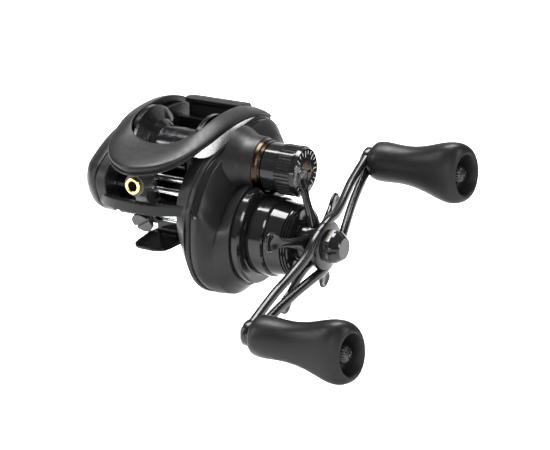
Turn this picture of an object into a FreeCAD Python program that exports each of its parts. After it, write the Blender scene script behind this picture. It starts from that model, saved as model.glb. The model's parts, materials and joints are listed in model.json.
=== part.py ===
import FreeCAD, Part
import math
import os
import re

import Sketcher
from FreeCAD import Placement, Rotation, Vector

# A low-profile baitcasting reel, left-hand retrieve, in millimetres.
# X runs along the spool towards the handle, -Y is the side where the line leaves, +Z is up.
# Everything is laid out from the middle of the spool axis, and each sub-part's Placement then
# lifts it by axis_height, so that the model's origin is on the underside of the foot.

doc = FreeCAD.newDocument("baitcasting_reel")
sheet = doc.addObject("Spreadsheet::Sheet", "dim")

DIMENSIONS = {
    # Where the two main axes are.
    "axis_height": 29, "shaft_forward": 5.2, "shaft_drop": 22.148,
    # Gear train.
    "gear_module": 0.5, "drive_teeth": 80, "pinion_teeth": 11,
    "worm_drive_teeth": 44, "worm_gear_teeth": 19, "worm_direction": 155, "gear_backlash": 0.1,
    # Frame and its side walls.
    "palm_wall_outer": 16.5, "palm_wall_inner": 12.4, "gear_wall_inner": 13.8,
    "gear_wall_outer": 16.5, "seam": 18.5, "spool_bore": 15, "wall": 1.5,
    # Spool and its shaft.
    "spool_half": 13.2, "spool_radius": 14.6, "arbor_radius": 8.4, "spool_shaft_radius": 1.5,
    "bearing_radius": 5, "running_gap": 0.05,
    "pin_radius": 0.45, "pin_reach": 2.5,
    # Palm side.
    "palm_face": 25.5, "dial_radius": 8, "dial_drop": 4, "drum_radius": 8,
    # Gear cover.
    "housing_radius": 22.5, "wall_radius": 17.5, "cover_face": 32.8, "boss_radius": 9.6, "boss_bore": 8,
    "boss_floor": 27.5, "boss_face": 33, "neck_radius": 7.2, "neck_end": 40,
    # Drag housing and collar on the main shaft.
    "plinth_radius": 17, "plinth_face": 36, "drag_drum_radius": 13.5, "drag_drum_face": 42.7,
    "collar_radius": 12.7, "collar_face": 51.2, "one_way_radius": 10.5,
    # Main shaft stack.
    "shaft_radius": 3, "sleeve_radius": 6, "gear_inner_face": 19.5, "gear_face_width": 3,
    "cup_radius": 13.6, "washer_radius": 12.2, "carbon_thickness": 1, "plate_thickness": 0.6,
    # Star drag and handle.
    "star_reach": 25.3, "star_hub_radius": 7, "star_first_arm": 21, "handle_angle": 26,
    "post_spacing": 87, "handle_hub_radius": 8.5, "handle_end_radius": 4.3,
    "handle_thickness": 3, "handle_hub_face": 61, "handle_end_face": 55.9,
    # Paddle knobs.
    "paddle_length": 38.5, "paddle_bore": 4, "post_radius": 2.2,
    # Cast control knob.
    "tension_radius": 8.6, "tension_face": 48.6, "tension_start": 36, "flutes": 44,
    # Level wind.
    "guard_radius": 3, "worm_radius": 2.3, "rod_radius": 1.1, "guide_half": 3.6,
    "front_rod_y": -21, "front_rod_z": -7.5, "rear_rod_y": -17.6, "rear_rod_z": -4.2,
    "ring_y": -29.3, "ring_z": -4.6, "ring_radius": 2.9, "ring_hole": 1.7,
    "pawl_tilt": 60, "pawl_cap_radius": 3.9, "pawl_cap_face": 6.8,
    # Foot.
    "foot_half_width": 6.6, "foot_front": -23.3, "foot_back": 33, "foot_thickness": 2.6,
    "bridge_bottom": -19, "bridge_top": -16.2,
    # Clutch.
    "yoke_post_reach": 5.8, "yoke_post_angle": 20, "yoke_start": 18.1, "yoke_thickness": 1,
    "thumb_travel": 4,
}

for row, (alias, number) in enumerate(DIMENSIONS.items(), start=1):
    cell = "A%d" % row
    sheet.set(cell, str(number))
    sheet.setAlias(cell, alias)
doc.recompute()

parts = []


# --- Helpers ---------------------------------------------------------------------------------

def formula(text):
    """An expression for this document: every word in the text is an alias of the sheet."""
    return re.sub(r"[a-z_]+", r"dim.\g<0>", str(text))


def value(text):
    """The number that such an expression has now."""
    return float(sheet.evalExpression(formula(text)))


def bind(feature, name, text):
    feature.setExpression(name, formula(text))


def keep(feature, label):
    """Name a finished sub-part and stand it at its height above the foot."""
    feature.Label = label
    bind(feature, "Placement.Base.z", "axis_height")
    parts.append(feature)
    return feature


def move(feature, x, y, z):
    for axis, text in zip("xyz", (x, y, z)):
        bind(feature, "Placement.Base.%s" % axis, text)


SPOOL_AXIS = ("0", "0")
MAIN_AXIS = ("-shaft_forward", "-shaft_drop")


def rod(start, end, radius, axis=SPOOL_AXIS):
    """A round bar parallel to X."""
    bar = doc.addObject("Part::Cylinder", "Rod")
    bind(bar, "Radius", radius)
    bind(bar, "Height", "%s - (%s)" % (end, start))
    bar.Placement = Placement(Vector(), Rotation(Vector(0, 1, 0), 90))
    move(bar, start, *axis)
    return bar


def cut(base, *tools):
    feature = doc.addObject("Part::Cut", "Cut")
    feature.Base = base
    feature.Tool = tools[0] if len(tools) == 1 else fuse(*tools)
    return feature


def fuse(*pieces):
    feature = doc.addObject("Part::MultiFuse", "Fuse")
    feature.Shapes = list(pieces)
    return feature


def ring(start, end, outer, inner, axis=SPOOL_AXIS):
    return cut(rod(start, end, outer, axis), rod(start, end, inner, axis))


def origin_plane(body, role):
    return next(f for f in body.Origin.OriginFeatures if f.Role == role)


def profile(label, points):
    """A solid turned about the X axis; points are (x, radius) expressions."""
    body = doc.addObject("PartDesign::Body", label)
    sketch = body.newObject("Sketcher::SketchObject", label + "_profile")
    sketch.AttachmentSupport = [(origin_plane(body, "XY_Plane"), "")]
    sketch.MapMode = "FlatFace"
    corners = [Vector(value(x), value(r), 0) for x, r in points]
    for start, end in zip(corners, corners[1:] + corners[:1]):
        sketch.addGeometry(Part.LineSegment(start, end))
    for i in range(len(points)):
        sketch.addConstraint(Sketcher.Constraint("Coincident", i, 2, (i + 1) % len(points), 1))
    for i, corner in enumerate(points):
        for kind, line, text in zip(("DistanceX", "DistanceY"), (-2, -1), corner):
            if abs(value(text)) < 1e-9:
                sketch.addConstraint(Sketcher.Constraint("PointOnObject", i, 1, line))
            else:
                n = sketch.addConstraint(Sketcher.Constraint(kind, -1, 1, i, 1, value(text)))
                sketch.setExpression("Constraints[%d]" % n, formula(text))
    revolution = body.newObject("PartDesign::Revolution", label + "_turning")
    revolution.Profile = sketch
    revolution.ReferenceAxis = (sketch, ["H_Axis"])
    revolution.Angle = 360
    return body


def turned(label, points, axis=SPOOL_AXIS):
    """A sub-part turned about an axis parallel to X."""
    body = profile(label, points)
    bind(body, "Placement.Base.y", axis[0])
    keep(body, label)
    bind(body, "Placement.Base.z", "axis_height + (%s)" % axis[1])
    return body


def formed(label, shape):
    """A sub-part whose free shape is worked out here from the sheet's sizes."""
    where = shape.Placement.toMatrix()
    shape.Placement = Placement()
    feature = doc.addObject("Part::Feature", label)
    feature.Shape = shape.transformed(where, True)
    return keep(feature, label)


def closed_spline(x, points):
    """A smooth closed outline through (y, z) points in the plane X = x."""
    curve = Part.BSplineCurve()
    curve.interpolate(Points=[Vector(x, y, z) for y, z in points], PeriodicFlag=True)
    return Part.Wire(curve.toShape())


def inset(points, distance):
    """The same closed outline, moved inwards along its own normals."""
    moved = []
    for i, (y, z) in enumerate(points):
        before, after = points[i - 1], points[(i + 1) % len(points)]
        along = Vector(0, after[0] - before[0], after[1] - before[1]).normalize()
        moved.append((y + along.z * distance, z - along.y * distance))
    return moved


def between(first, second, share):
    return [(a + (c - a) * share, b + (d - b) * share) for (a, b), (c, d) in zip(first, second)]


def loft(sections):
    return Part.makeLoft([closed_spline(x, points) for x, points in sections], True, True)


def plate(points, start, end):
    """A flat plate, its outline a polygon of (y, z) points, from X = start to X = end."""
    wire = Part.makePolygon([Vector(start, y, z) for y, z in points + points[:1]])
    return Part.Face(wire).extrude(Vector(end - start, 0, 0))


def bar(x, radius, length, y=0, z=0, direction=Vector(1, 0, 0)):
    return Part.makeCylinder(radius, length, Vector(x, y, z), direction)


def block(low, high):
    size = Vector(*high) - Vector(*low)
    return Part.makeBox(size.x, size.y, size.z, Vector(*low))


def main_axis_point():
    return -value("shaft_forward"), -value("shaft_drop")


def worm_axis_point():
    reach = value("gear_module * (worm_drive_teeth + worm_gear_teeth) / 2")
    turn = math.radians(value("worm_direction"))
    y, z = main_axis_point()
    return y + reach * math.cos(turn), z + reach * math.sin(turn)


# --- Outlines of the two sides, as (y, z) from the spool axis, clockwise from the front -------

GEAR_SIDE_TOP = [(-27, -13.5), (-24.8, -8.5), (-21.9, -3.5), (-15, 2.4), (-4, 5.8), (8, 10),
                 (17, 11.2), (23.6, 8.6), (26.8, 2), (25.5, -8), (20.5, -16)]
EDGE_TOP = [(-22.5, -19), (-19.5, -16), (-15.7, -12.4), (-9.4, -7.1), (-1.1, -1.6), (6.7, 2.8),
            (16, 6), (20.5, 4.5), (23, 0), (22.5, -8), (18, -16.5)]
HOUSING_TURNS = [-15, -45, -75, -105, -135, -165]
EDGE_SHARE = [0.93, 0.96, 0.98, 0.98, 0.95, 0.86]
PALM_SIDE = [(-28, -9), (-27.6, -3), (-24, 0.6), (-16, 5.2), (-8, 8.4), (4, 11.2), (14, 11.6),
             (22, 10.4), (27, 4), (27.3, -5), (23, -14), (12, -19.3), (-2, -20.4), (-15, -19.6),
             (-24, -16)]


def housing_points(radii):
    y, z = main_axis_point()
    turns = [math.radians(a) for a in HOUSING_TURNS]
    return [(y + r * math.cos(a), z + r * math.sin(a)) for a, r in zip(turns, radii)]


def gear_side():
    return GEAR_SIDE_TOP + housing_points([value("housing_radius")] * len(HOUSING_TURNS))


def gear_wall_side(share=0):
    """The gear wall's outline: narrower on its inner face (0) than at the seam (1)."""
    start = [(-25.5, -13.5)] + GEAR_SIDE_TOP[1:]
    start += housing_points([value("wall_radius")] * len(HOUSING_TURNS))
    return between(start, gear_side(), share)


def cover_edge():
    radius = value("housing_radius")
    return EDGE_TOP + housing_points([radius * share for share in EDGE_SHARE])


def main_circle(radius):
    """Points on a circle about the main shaft, in step with the points of cover_edge."""
    y, z = main_axis_point()
    turns = [math.atan2(b - z, a - y) for a, b in cover_edge()]
    return [(y + radius * math.cos(a), z + radius * math.sin(a)) for a in turns]


# The hood's upper and lower lines, seen from the side, front to back.
HOOD_TOP = [(-33.2, 2.2), (-30, 4.2), (-24, 6.9), (-16, 9.9), (-9, 12.7), (0, 15), (8, 16),
            (17, 15.7), (24, 13.8), (27.5, 11)]
HOOD_UNDER = [(-33.2, -0.9), (-27, 1.2), (-21, 3.9), (-14, 7), (-3, 10.4), (8, 12), (17, 11.9),
              (24, 10), (27.5, 8)]


def side_band(upper, lower, half_width):
    """A band between two side lines, extruded across the reel."""
    lines = []
    for points in (upper, lower):
        curve = Part.BSplineCurve()
        curve.interpolate([Vector(-half_width, y, z) for y, z in points])
        lines.append(curve)
    ends = [Part.LineSegment(lines[0].StartPoint, lines[1].StartPoint),
            Part.LineSegment(lines[0].EndPoint, lines[1].EndPoint)]
    wire = Part.Wire(Part.__sortEdges__([edge.toShape() for edge in lines + ends]))
    return Part.Face(wire).extrude(Vector(2 * half_width, 0, 0))


def plan_wire(half_outline, z):
    """A closed plan curve, mirrored about the reel's middle plane, open end at the back."""
    right = [Vector(x, y, z) for x, y in half_outline]
    left = [Vector(-x, y, z) for x, y in reversed(half_outline[:-1])]
    curve = Part.BSplineCurve()
    curve.interpolate(right + left)
    back = Part.LineSegment(curve.EndPoint, curve.StartPoint)
    return Part.Wire([curve.toShape(), back.toShape()])


# --- Frame and shells ------------------------------------------------------------------------

CHIN_OUTER = [(16.4, -25.9), (14, -27.6), (8, -30.1), (0, -30.9)]
CHIN_INNER = [(16.4, -22.9), (13, -24.6), (8, -26.9), (0, -27.6)]
CHIN_HEIGHTS = (-13.8, -10.2)


# The cross pieces behind and under the spool, and the lip round the spool on the gear side.
REAR_WALL_FRONT, REAR_WALL_BACK, REAR_WALL_TOP = 16.2, 18.6, 7.4
BRIDGE_FRONT = -14.2
LIP_WIDTH = 1.8

# The guide rods and the worm end in blind holes in the palm wall.
SOCKET_END = -14.6
ROD_START, ROD_END = -14.4, 16
WORM_END_RADIUS = 1.2

# The window in the gear wall that the thumb bar's leg slides in: front, back, bottom and top.
THUMB_WINDOW = (18.4, 21.4, -7.6, 10)
YOKE_POST_RADIUS = 0.7
FIT = 0.05


def chin_bar():
    low, high = CHIN_HEIGHTS
    outer = Part.Face(plan_wire(CHIN_OUTER, low)).extrude(Vector(0, 0, high - low))
    inner = Part.Face(plan_wire(CHIN_INNER, low)).extrude(Vector(0, 0, high - low))
    return outer.cut(inner)


def frame():
    palm_outer, palm_inner = -value("palm_wall_outer"), -value("palm_wall_inner")
    wall_inner, wall_outer, seam = value("gear_wall_inner"), value("gear_wall_outer"), value("seam")
    bore = value("spool_bore")
    bridge_low, bridge_high = value("bridge_bottom"), value("bridge_top")
    palm_wall = loft([(palm_outer, PALM_SIDE), (palm_inner, PALM_SIDE)])
    gear_wall = loft([(wall_inner, gear_wall_side()), (seam, gear_side())])
    tray_share = (wall_outer - wall_inner) / (seam - wall_inner)
    tray = loft([(wall_outer, inset(gear_wall_side(tray_share), value("wall"))),
                 (seam, inset(gear_side(), value("wall")))])
    lip = bar(-palm_inner, bore + LIP_WIDTH, wall_inner + 0.2 + palm_inner)
    left, right = palm_inner - 1, wall_inner + 1
    rear_wall = block((left, REAR_WALL_FRONT, bridge_low), (right, REAR_WALL_BACK, REAR_WALL_TOP))
    bridge = block((left, BRIDGE_FRONT, bridge_low), (right, REAR_WALL_BACK, bridge_high))
    body = palm_wall.fuse([gear_wall, lip, rear_wall, bridge, chin_bar()])
    worm_y, worm_z = worm_axis_point()
    main_y, main_z = main_axis_point()
    rod_radius, socket_length = value("rod_radius"), ROD_END - SOCKET_END
    front, back, window_low, window_high = THUMB_WINDOW
    holes = [tray, bar(palm_outer - 1, bore, value("spool_half + 0.4") - palm_outer + 1),
             bar(wall_inner - 0.4, bearing_hole(), 5),
             bar(wall_inner - 1, value("shaft_radius + 1.5"), 5, main_y, main_z),
             bar(SOCKET_END, WORM_END_RADIUS + FIT, seam + 1 - SOCKET_END, worm_y, worm_z),
             bar(SOCKET_END, rod_radius, socket_length, value("front_rod_y"), value("front_rod_z")),
             bar(SOCKET_END, rod_radius, socket_length, value("rear_rod_y"), value("rear_rod_z")),
             bar(palm_inner - 0.6, value("guard_radius"), 27.4, worm_y, worm_z),
             block((wall_inner - 0.1, front, window_low), (seam + 1, back, window_high)),
             hood_bed()]
    holes += [bar(wall_inner - 1, YOKE_POST_RADIUS, 4, y, z) for y, z in yoke_posts_at()]
    for y, z in COVER_SCREWS:
        holes += [bar(wall_inner - 1, SCREW_RADIUS + FIT, 4, y, z),
                  bar(wall_inner - 1.4, SCREW_HEAD + FIT, 1.4, y, z)]
    return formed("frame", body.cut(holes).removeSplitter())


def bearing_hole():
    return value("spool_shaft_radius + 2.6")


def hood_bed():
    """Everything above the hood's underside, so that the frame stops there."""
    above = [(y, 30) for y, z in HOOD_UNDER]
    return side_band(above, HOOD_UNDER, 21)


def front_hood():
    outer = [(19.8, 27.5), (19.9, 16), (19.8, 4), (19.3, -7), (17.2, -17), (12.8, -25.5),
             (6.6, -31.4), (0, -33.1)]
    inner = [(14, 27.6), (14.1, 16), (14.1, 4), (13.8, -4), (12, -11.5), (7, -16.4), (0, -17.8)]
    plan = Part.Face(plan_wire(outer, -3)).extrude(Vector(0, 0, 24))
    opening = Part.Face(plan_wire(inner, -4)).extrude(Vector(0, 0, 26))
    band = side_band(HOOD_TOP, HOOD_UNDER, 24)
    spool_room = bar(-value("spool_half + 0.4"), value("spool_bore"), value("2 * spool_half + 0.8"))
    return formed("front_hood", plan.cut(opening).common(band).cut(spool_room))


TRIM_LOWER = [(-15, 5.9), (-12, 4.9), (-4, 7.3), (4, 9.9), (12, 11.6), (17.5, 11.7)]
LEFT_TRIM = (-19.2, -16.6)
RIGHT_TRIM = (16, 19.2)


def side_trim_shape(start, end):
    """The polished strip under the hood, between the hood's underside and its own lower line."""
    shape = side_band(HOOD_UNDER, [(y, z - 12) for y, z in HOOD_UNDER], 22)
    return shape.common(plate(TRIM_LOWER + [(17.5, 14), (-15, 9)], start, end))


def reel_foot():
    half, front, back = value("foot_half_width"), value("foot_front"), value("foot_back")
    low = -value("axis_height")
    thick = value("foot_thickness")
    side = [(front, low), (back, low), (back, low + 0.9), (back - 14, low + thick),
            (front + 12, low + thick), (front, low + 0.9)]
    sole = plate(side, -half, half)
    stem = block((-5, -9, low + 1), (5, 15, value("bridge_bottom")))
    ends = [edge for edge in sole.Edges if edge.BoundBox.ZLength > 0.5
            and edge.BoundBox.XLength < 0.1 and edge.BoundBox.YLength < 0.1]
    sole = sole.makeFillet(4.5, ends)
    screws = [hole for x, y in FOOT_SCREWS for hole in foot_screw(x, y, 0.02)]
    return formed("reel_foot", sole.fuse(stem).cut(screws))


FOOT_SCREWS = [(0, -6), (0, 3), (0, 12)]
FOOT_SCREW_RADIUS = 1.2
FOOT_SCREW_HEAD = 2.2


def foot_screw(x, y, slack=0):
    low = -value("axis_height")
    up = Vector(0, 0, 1)
    return [Part.makeCylinder(FOOT_SCREW_HEAD + slack, 1.6, Vector(x, y, low), up),
            Part.makeCylinder(FOOT_SCREW_RADIUS + slack, 11, Vector(x, y, low), up)]


def foot_screws():
    recess = [Part.makeCylinder(1.3, 1, Vector(x, y, -value("axis_height") - 0.2))
              for x, y in FOOT_SCREWS]
    screws = []
    for x, y in FOOT_SCREWS:
        head = foot_screw(x, y)[0]
        shank = Part.makeCylinder(FOOT_SCREW_RADIUS, value("axis_height + bridge_bottom"),
                                  Vector(x, y, -value("axis_height")))
        screws.append(head.fuse(shank).cut(recess))
    return formed("foot_screws", Part.makeCompound(screws))


def palm_side_plate():
    start, face = -value("palm_wall_outer"), -value("palm_face")
    centre = (0, -4)
    shrunk = [between(PALM_SIDE, [centre] * len(PALM_SIDE), share)
              for share in (0, 0.03, 0.16, 0.42)]
    stations = [start, start - 3.2, start - 6.9, face]
    shell = loft(list(zip(stations, shrunk)))
    wall = value("wall")
    inner = loft([(start, inset(shrunk[0], wall)), (start - 2.9, inset(shrunk[1], wall)),
                  (start - 5.4, inset(shrunk[2], wall))])
    seat = bar(face + 2.2, 6.6, 4.6)
    bearing = bar(-22.2, value("bearing_radius"), 12)
    pocket = bar(face - 1, value("dial_radius + 0.3"), 3, 0, -value("dial_drop"))
    drum_room = bar(-22, value("drum_radius + 0.1"), 6).cut(bar(-23, 6.6, 8))
    holes = [bearing, bar(-22.9, 2, 2), pocket, drum_room, hood_bed(), side_trim_shape(*LEFT_TRIM)]
    return formed("palm_side_plate", shell.cut(inner).fuse(seat).cut(holes))


def gear_side_cover():
    seam, face, wall = value("seam"), value("cover_face"), value("wall")
    edge = cover_edge()
    middle = between(gear_side(), edge, 0.15)
    chamfer = between(edge, main_circle(17.9), 0.6)
    shell = loft([(seam, gear_side()), (23, middle), (27, edge), (30, chamfer),
                  (face, main_circle(17.9))])
    boss = bar(22, value("boss_radius"), value("boss_face") - 22)
    neck = bar(30, value("neck_radius"), value("neck_end") - 30)
    cavity = loft([(seam, inset(gear_side(), wall)), (22.8, inset(middle, wall)),
                   (26.6, inset(edge, wall)), (29.2, inset(chamfer, wall)),
                   (face - wall, main_circle(16))])
    bore = bar(seam, value("boss_bore"), value("boss_floor") - seam)
    seat = bar(value("boss_floor"), value("bearing_radius + 1.5"), 8)
    posts = [bar(seam - 1.9, POST_RADIUS, 1.9, y, z) for y, z in COVER_SCREWS]
    posts += [bar(seam, POST_RADIUS, 8, y, z).common(shell) for y, z in COVER_SCREWS]
    shape = shell.fuse([boss, neck]).cut([cavity, bore]).fuse([seat] + posts)
    holes = [bar(20, value("bearing_radius"), 16.2), bar(36.2, 5.6, 4.8),
             bar(30, 13, 4, *main_axis_point()), hood_bed()]
    holes += [bar(16, SCREW_RADIUS, 4, y, z) for y, z in COVER_SCREWS]
    return formed("gear_side_cover", shape.cut(holes))


# The cover's screws pass through the gear wall into its posts.
COVER_SCREWS = [(19.5, -11.5), (15.2, 7.4)]
SCREW_RADIUS = 1
SCREW_HEAD = 1.8
POST_RADIUS = 1.6
SCREW_LENGTH = 6


def cover_screws():
    """Pan-head screws on the inner face of the gear wall, each with a driver slot."""
    start = value("gear_wall_inner")
    solids = []
    for y, z in COVER_SCREWS:
        shank = bar(start, SCREW_RADIUS, SCREW_LENGTH, y, z)
        head = bar(start - 1.2, SCREW_HEAD, 1.2, y, z)
        slot = block((start - 2, y - 3, z - 0.3), (start - 0.7, y + 3, z + 0.3))
        solids.append(shank.fuse(head).cut(slot))
    return formed("cover_screws", Part.makeCompound(solids))


# --- Spool, bearings and brake ---------------------------------------------------------------

def spool():
    half = [("6", "arbor_radius"), ("8.5", "arbor_radius + 1.8"), ("11", "spool_radius - 0.7"),
            ("spool_half - 1.6", "spool_radius"), ("spool_half", "spool_radius"),
            ("spool_half", "spool_radius - 1.2"), ("10.6", "arbor_radius + 2.2"),
            ("8", "arbor_radius - 1.6"), ("8", "4"), ("10", "4"), ("10", "spool_shaft_radius")]
    mirrored = [("-(%s)" % x, r) for x, r in reversed(half)]
    return turned("spool", half + mirrored)


def pin_rod():
    """The cross pin through the spool shaft that the pinion drives."""
    pin = doc.addObject("Part::Cylinder", "Pin")
    bind(pin, "Radius", "pin_radius")
    bind(pin, "Height", "2 * pin_reach")
    move(pin, "17.4", "0", "-pin_reach")
    return pin


def spool_shaft():
    shaft = profile("Shaft", [("-22.6", "0"), ("-22.6", "1.2"), ("-22.3", "spool_shaft_radius"),
                              ("36.2", "spool_shaft_radius"), ("36.5", "1.2"), ("36.5", "0")])
    return keep(cut(shaft, pin_rod()), "spool_shaft")


def clutch_pin():
    pin = keep(pin_rod(), "clutch_pin")
    bind(pin, "Placement.Base.z", "axis_height - pin_reach")
    return pin


def ball_bearing(label, start, end, outer, inner, axis=SPOOL_AXIS):
    """A sealed bearing: two races with a shallow groove between them on each face."""
    middle = "(%s + %s) / 2" % (outer, inner)
    body = ring(start, end, outer, inner, axis)
    grooves = [ring(a, b, middle + " + 0.5", middle + " - 0.5", axis)
               for a, b in ((start, start + " + 0.2"), (end + " - 0.2", end))]
    return keep(cut(body, *grooves), label)


def brake_rotor():
    return turned("brake_rotor", [("-15.4", "spool_shaft_radius"), ("-15.4", "5.2"),
                                  ("-13.9", "5.2"), ("-13.9", "3.9"), ("-10", "3.9"),
                                  ("-10", "spool_shaft_radius")])


def brake_blocks():
    """Six sliding blocks round the rotor."""
    blocks = []
    for i in range(6):
        shape = block((-15.3, -1.1, 5.3), (-14, 1.1, 6.8))
        shape.rotate(Vector(), Vector(1, 0, 0), 60 * i)
        blocks.append(shape)
    return formed("brake_blocks", Part.makeCompound(blocks))


def brake_drum():
    return turned("brake_drum", [("-21.8", "6.7"), ("-21.8", "drum_radius"), ("-14.2", "drum_radius"),
                                 ("-14.2", "drum_radius - 1"), ("-20.8", "drum_radius - 1"),
                                 ("-20.8", "6.7")])


def brake_dial():
    """The finger dial let into the palm plate, with notches round its edge."""
    face = -value("palm_face")
    radius = value("dial_radius")
    dial = bar(face + 0.4, radius, 1.5)
    notches = [bar(face, 0.9, 3, radius * math.cos(a), radius * math.sin(a))
               for a in (math.radians(15 * i) for i in range(24))]
    shape = dial.cut(notches)
    shape.translate(Vector(0, 0, -value("dial_drop")))
    return formed("brake_dial", shape)


# --- Gears -----------------------------------------------------------------------------------

def gear_outline(teeth, x):
    """An involute gear's outline, as a closed wire in the plane X = x."""
    module = value("gear_module")
    pressure = math.radians(20)
    pitch = module * teeth / 2
    base = pitch * math.cos(pressure)
    root, tip = pitch - 1.2 * module, pitch + 0.9 * module
    half_tooth = math.pi / (2 * teeth) - value("gear_backlash") / (2 * pitch)
    at_pitch = math.tan(pressure) - pressure

    def flank(radius):
        if radius <= base:
            return half_tooth + at_pitch
        unwound = math.acos(base / radius)
        return half_tooth + at_pitch - (math.tan(unwound) - unwound)

    steps = [max(root, min(base, tip)) + (tip - max(root, min(base, tip))) * i / 3 for i in range(4)]
    side = [(root, flank(root))] + [(r, flank(r)) for r in steps]
    points = []
    for tooth in range(teeth):
        middle = 2 * math.pi * tooth / teeth
        tooth_points = [(r, middle - a) for r, a in side] + [(r, middle + a) for r, a in side[::-1]]
        points += [Vector(x, r * math.cos(a), r * math.sin(a)) for r, a in tooth_points]
    spaced = [p for p, q in zip(points, points[1:] + points[:1]) if p.distanceToPoint(q) > 1e-5]
    return Part.makePolygon(spaced + spaced[:1])


def gear(teeth, start, end, turn=0):
    wheel = Part.Face(gear_outline(teeth, start)).extrude(Vector(end - start, 0, 0))
    wheel.rotate(Vector(), Vector(1, 0, 0), turn)
    return wheel


def mesh_turn(teeth, direction):
    """The turn that puts a gap of this gear on the line towards its partner."""
    pitch_angle = 360 / teeth
    return direction - pitch_angle / 2 - pitch_angle * math.floor(direction / pitch_angle)


def towards_spool():
    return math.degrees(math.atan2(value("shaft_drop"), value("shaft_forward")))


def drive_gear():
    start = value("gear_inner_face")
    teeth = int(value("drive_teeth"))
    wheel = gear(teeth, start, start + value("gear_face_width"), towards_spool())
    cup = bar(start, value("cup_radius"), 6.5)
    cavity = bar(start + 1.5, value("washer_radius + 0.2"), 6)
    windows = []
    for i in range(6):
        a = math.radians(60 * i)
        windows.append(bar(start - 1, 1.9, 6, 16.5 * math.cos(a), 16.5 * math.sin(a)))
    shape = wheel.fuse(cup).cut([cavity, bar(start - 1, value("shaft_radius"), 9)] + windows)
    shape.translate(Vector(0, *main_axis_point()))
    return formed("drive_gear", shape)


def pinion_gear():
    """Teeth outside, a fork groove and a slotted flange inside, sliding on the spool shaft."""
    teeth = int(value("pinion_teeth"))
    wheel = gear(teeth, 19.3, 25.2, mesh_turn(teeth, towards_spool() - 180))
    hub = bar(16.9, 2.9, 1).fuse([bar(17.9, 2, 1.4), bar(25.2, 2.6, 5.8)])
    slot = block((16.8, -0.55, -4), (17.95, 0.55, 4))
    shape = wheel.fuse(hub).cut([slot, bar(16, value("spool_shaft_radius + 0.12"), 16)])
    return formed("pinion_gear", shape)


def worm_drive_gear():
    shape = gear(int(value("worm_drive_teeth")), 16.7, 18.2, value("worm_direction"))
    shape = shape.cut(bar(16, value("shaft_radius"), 4))
    shape.translate(Vector(0, *main_axis_point()))
    return formed("worm_drive_gear", shape)


def worm_gear():
    teeth = int(value("worm_gear_teeth"))
    shape = gear(teeth, 16.7, 18.2, mesh_turn(teeth, value("worm_direction") - 180))
    shape = shape.cut([bar(16, 1.2, 4)]
                      + [bar(16, 1.1, 4, 4 * math.cos(a), 4 * math.sin(a))
                         for a in (math.radians(60 * i) for i in range(6))])
    shape.translate(Vector(0, *worm_axis_point()))
    return formed("worm_gear", shape)


# --- Main shaft, drag and handle -------------------------------------------------------------

def main_shaft():
    return turned("main_shaft", [("14", "0"), ("14", "shaft_radius"), ("62.9", "shaft_radius"),
                                 ("63.3", "2.6"), ("63.3", "0")], MAIN_AXIS)


def shaft_bush():
    return turned("shaft_bush", [("13.8", "shaft_radius + running_gap"), ("13.8", "shaft_radius + 1.5"),
                                 ("gear_wall_outer", "shaft_radius + 1.5"),
                                 ("gear_wall_outer", "shaft_radius + running_gap")], MAIN_AXIS)


def ratchet():
    """A twelve-tooth wheel behind the drive gear that throws the clutch back in."""
    points = []
    for i in range(12):
        a = math.radians(30 * i)
        b = math.radians(30 * i + 24)
        points += [(10.4 * math.cos(a), 10.4 * math.sin(a)), (8.6 * math.cos(b), 8.6 * math.sin(b))]
    shape = plate(points, 18.4, 19.3).cut(bar(18, value("shaft_radius"), 3))
    shape.translate(Vector(0, *main_axis_point()))
    return formed("ratchet", shape)


def discs(starts, thickness, outer, inner):
    """Flat rings on the main shaft, one for each start."""
    y, z = main_axis_point()
    return [bar(x, outer, thickness, y, z).cut(bar(x - 1, inner, 4, y, z)) for x in starts]


def drag_stack():
    """Carbon washers with steel plates between them, and the pressure plate on top."""
    carbon, steel = value("carbon_thickness"), value("plate_thickness")
    floor = value("gear_inner_face + 1.5")
    pitch = carbon + steel
    outer, shaft = value("washer_radius"), value("shaft_radius")
    washers = discs([floor + pitch * i for i in range(3)], carbon, outer, 4.2)
    plates = discs([floor + carbon + pitch * i for i in range(2)], steel, outer - 0.2, shaft)
    pressure = discs([floor + 3 * carbon + 2 * steel], 1.2, outer - 0.2, shaft)
    formed("drag_washers", Part.makeCompound(washers))
    formed("drag_plates", Part.makeCompound(plates + pressure))


def anti_reverse_sleeve():
    return keep(ring("gear_inner_face + 6.9", "42.6", "sleeve_radius", "shaft_radius", MAIN_AXIS),
                "anti_reverse_sleeve")


# Where the outer rim of each spring washer starts along the main shaft.
SPRING_PLACES = [47.1, 47.75, 49, 49.65]


def spring_washers():
    """Four cupped spring washers, stacked in opposed pairs."""
    solids = []
    for i, x in enumerate(SPRING_PLACES):
        lean = 0.3 if i % 2 else -0.3
        line = [Vector(x + lean, 3, 0), Vector(x, 6.2, 0), Vector(x + 0.6, 6.2, 0),
                Vector(x + 0.6 + lean, 3, 0)]
        face = Part.Face(Part.makePolygon(line + line[:1]))
        solids.append(face.revolve(Vector(), Vector(1, 0, 0), 360))
    stack = Part.makeCompound(solids)
    stack.translate(Vector(0, *main_axis_point()))
    return formed("drag_spring_washers", stack)


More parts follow.
